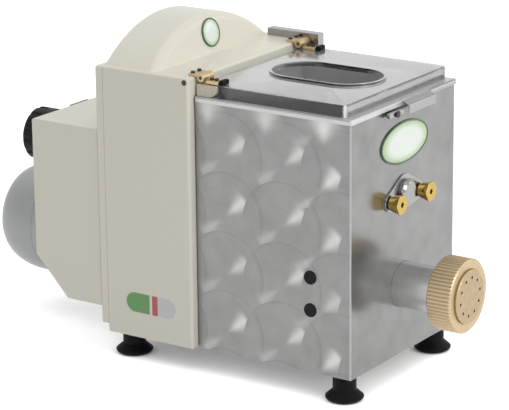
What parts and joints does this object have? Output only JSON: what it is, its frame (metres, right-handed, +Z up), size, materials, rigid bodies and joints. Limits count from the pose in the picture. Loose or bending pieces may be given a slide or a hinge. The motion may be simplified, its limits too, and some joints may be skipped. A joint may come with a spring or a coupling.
{
  "type": "electric pasta maker",
  "caption": "Electric pasta maker: steel mixing body with a clear hinged lid, auger barrel with brass die and ring nut, painted arched column and rear motor.",
  "frame": {"origin": "on the table under the middle of the whole machine's length and width", "axes": "+Z up; -Y towards the die end; -X is the side with the two plugs and the side label"},
  "size_m": [0.254, 0.6494, 0.403],
  "materials": {
    "quilted_steel": "overlapping swirl-brushed discs",
    "plain_steel": "satin stainless sheet",
    "machine_steel": "machined steel",
    "zinc_screws": "bright zinc plate",
    "chrome": "polished",
    "cast_aluminium": "cast, satin",
    "bronze": "machined bronze",
    "brass": "machined brass, knurled and part polished",
    "dark_steel": "blackened screws",
    "cream_paint": "cream enamel, half gloss",
    "silver_paint": "silver-grey paint",
    "black_rubber": "moulded rubber",
    "black_plastic": "moulded plastic",
    "clear_plastic": "clear moulding",
    "badge_enamel": "pale enamel with a dark green rim, bare",
    "label_film": "bare green, red and white film"
  },
  "bodies": {
    "machine": {"left_side_panel": "quilted_steel", "right_side_panel": "quilted_steel", "front_panel": "quilted_steel", "base_plate": "plain_steel", "bulkhead": "plain_steel", "mixing_tub": "plain_steel", "rim_tab": "plain_steel", "switch_guard": "plain_steel", "mixer_flange": "plain_steel", "motor_stator": "machine_steel", "motor_bearings": "machine_steel", "extrusion_barrel": "machine_steel", "foot_bolts": "zinc_screws", "flange_studs": "zinc_screws", "case_screws": "zinc_screws", "mixer_hub": "chrome", "auger_housing": "cast_aluminium", "gearbox_case": "cast_aluminium", "gearbox_cover": "cast_aluminium", "bronze_bushes": "bronze", "brass_die": "brass", "shelf_hinge_leaves": "brass", "shelf_hinge_screws": "dark_steel", "front_cover": "cream_paint", "rear_cover": "cream_paint", "motor_hood": "cream_paint", "motor_front_bell": "silver_paint", "motor_housing": "silver_paint", "motor_end_bell": "silver_paint", "start_capacitor": "silver_paint", "rubber_feet": "black_rubber", "button_bezel": "black_plastic", "cable_gland": "black_plastic", "switch_bodies": "black_plastic", "side_plugs": "black_plastic", "hinge_cheeks": "clear_plastic", "enamel_badges": "badge_enamel", "side_label": "label_film"},
    "lid": {"lid": "clear_plastic", "lid_hinge_leaves": "brass", "hinge_pins": "zinc_screws", "switch_cam": "dark_steel", "lid_hinge_screws": "dark_steel", "lid_buffers": "black_rubber"},
    "switch_plunger": {"switch_plunger": "black_plastic"},
    "auger": {"auger_screw": "machine_steel", "auger_wheel": "machine_steel"},
    "mixer": {"mixing_shaft": "plain_steel", "mixer_wheel": "machine_steel"},
    "lay_shaft": {"lay_shaft": "machine_steel", "lay_wheel": "machine_steel"},
    "motor_rotor": {"motor_rotor": "machine_steel", "motor_fan": "black_plastic", "motor_pinion": "machine_steel"},
    "ring_nut": {"ring_nut": "brass"},
    "left_hand_nut": {"left_hand_nut": "brass"},
    "right_hand_nut": {"right_hand_nut": "brass"},
    "rim_latch": {"rim_latch": "chrome"},
    "selector_knob": {"selector_knob": "black_plastic"},
    "push_button": {"push_button": "black_plastic"}
  },
  "joints": [
    {"name": "motor_spin", "type": "hinge", "parent": "machine", "child": "motor_rotor", "pos_m": [0, 0.1647, 0.114], "axis": [0, 1, 0], "continuous": true},
    {"name": "lay_shaft_spin", "type": "hinge", "parent": "machine", "child": "lay_shaft", "pos_m": [0, 0.0047, 0.17], "axis": [0, 1, 0], "continuous": true},
    {"name": "auger_spin", "type": "hinge", "parent": "machine", "child": "auger", "pos_m": [0, -0.1353, 0.114], "axis": [0, 1, 0], "continuous": true},
    {"name": "mixer_spin", "type": "hinge", "parent": "machine", "child": "mixer", "pos_m": [0, -0.1353, 0.226], "axis": [0, 1, 0], "continuous": true},
    {"name": "lid_hinge", "type": "hinge", "parent": "machine", "child": "lid", "pos_m": [0, -0.0313, 0.3565], "axis": [-1, 0, 0], "range_deg": [0, 95]},
    {"name": "switch_plunger_slide", "type": "slide", "parent": "machine", "child": "switch_plunger", "axis": [0, -1, 0], "range_m": [0, 0.001]},
    {"name": "ring_nut_turn", "type": "hinge", "parent": "machine", "child": "ring_nut", "pos_m": [0, -0.3053, 0.114], "axis": [0, -1, 0], "continuous": true},
    {"name": "left_hand_nut_turn", "type": "hinge", "parent": "machine", "child": "left_hand_nut", "pos_m": [-0.0325, -0.2453, 0.22], "axis": [0, -1, 0], "continuous": true},
    {"name": "right_hand_nut_turn", "type": "hinge", "parent": "machine", "child": "right_hand_nut", "pos_m": [0.0325, -0.2453, 0.22], "axis": [0, -1, 0], "continuous": true},
    {"name": "rim_latch_turn", "type": "hinge", "parent": "machine", "child": "rim_latch", "pos_m": [-0.0285, -0.2393, 0.3245], "axis": [0, -1, 0], "range_deg": [0, 90]},
    {"name": "selector_knob_turn", "type": "hinge", "parent": "machine", "child": "selector_knob", "pos_m": [-0.075, 0.2247, 0.246], "axis": [0, 1, 0], "range_deg": [-60, 60]},
    {"name": "push_button_slide", "type": "slide", "parent": "machine", "child": "push_button", "axis": [0, -1, 0], "range_m": [0, 0.004], "stiffness_N_per_m": 500, "springref_m": -0.003}
  ],
  "couplings": [
    {"joint": "lay_shaft_spin", "follows": "motor_spin", "ratio": -0.33333},
    {"joint": "auger_spin", "follows": "motor_spin", "ratio": 0.11111},
    {"joint": "mixer_spin", "follows": "motor_spin", "ratio": 0.11111},
    {"joint": "switch_plunger_slide", "follows": "lid_hinge", "m_per_rad": 0.0006}
  ]
}
